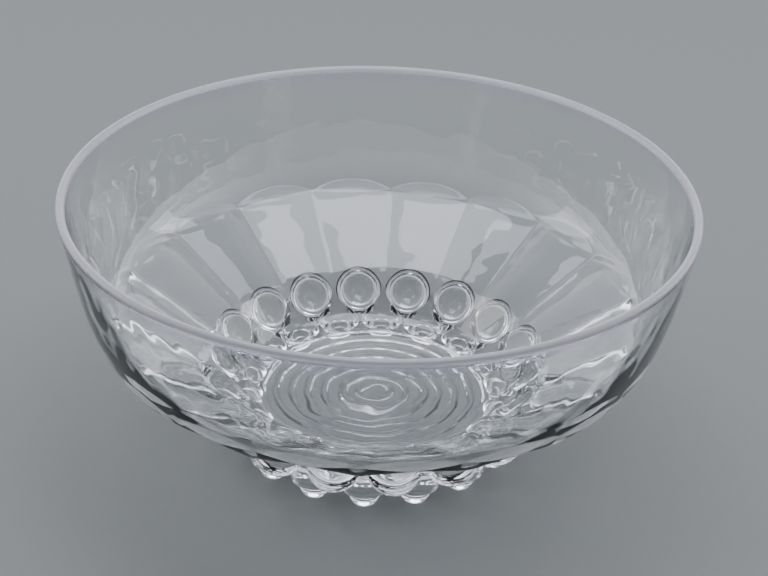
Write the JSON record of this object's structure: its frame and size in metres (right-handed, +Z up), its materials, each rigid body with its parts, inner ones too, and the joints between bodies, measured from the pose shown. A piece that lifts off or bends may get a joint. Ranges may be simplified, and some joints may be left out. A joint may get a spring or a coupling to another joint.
{
  "type": "glass mixing bowl",
  "caption": "Round clear pressed-glass mixing bowl with a flared plain rim, fluted lower wall, a belt of beads and a ring of rounded bead feet.",
  "frame": {"origin": "centre of the ring of feet, on the surface that the bowl stands on", "axes": "+Z up along the bowl's axis through the open rim; -Y towards the foot named foot_01; +X to the right seen from -Y"},
  "size_m": [0.23, 0.23, 0.103],
  "materials": {
    "rim_glass": "clear soda-lime glass, fire-polished rounded edge",
    "wall_glass": "clear soda-lime glass, pressed, smooth with faint flow waves",
    "flute_glass": "clear soda-lime glass, pressed concave flutes",
    "belt_glass": "clear soda-lime glass, pressed, smooth inside",
    "base_glass": "clear soda-lime glass, pressed rings under the floor",
    "bead_glass": "clear soda-lime glass, glossy round beads",
    "foot_glass": "clear soda-lime glass, glossy, finely stippled on the resting face"
  },
  "bodies": {
    "root": {"rim_lip": "rim_glass", "upper_wall": "wall_glass", "fluted_wall": "flute_glass", "bead_belt": "belt_glass", "base_disc": "base_glass", "bead_01": "bead_glass", "bead_02": "bead_glass", "bead_03": "bead_glass", "bead_04": "bead_glass", "bead_05": "bead_glass", "bead_06": "bead_glass", "bead_07": "bead_glass", "bead_08": "bead_glass", "bead_09": "bead_glass", "bead_10": "bead_glass", "bead_11": "bead_glass", "bead_12": "bead_glass", "bead_13": "bead_glass", "bead_14": "bead_glass", "bead_15": "bead_glass", "bead_16": "bead_glass", "bead_17": "bead_glass", "bead_18": "bead_glass", "foot_01": "foot_glass", "foot_02": "foot_glass", "foot_03": "foot_glass", "foot_04": "foot_glass", "foot_05": "foot_glass", "foot_06": "foot_glass", "foot_07": "foot_glass", "foot_08": "foot_glass", "foot_09": "foot_glass", "foot_10": "foot_glass", "foot_11": "foot_glass", "foot_12": "foot_glass", "foot_13": "foot_glass", "foot_14": "foot_glass", "foot_15": "foot_glass", "foot_16": "foot_glass", "foot_17": "foot_glass", "foot_18": "foot_glass"}
  },
  "joints": []
}
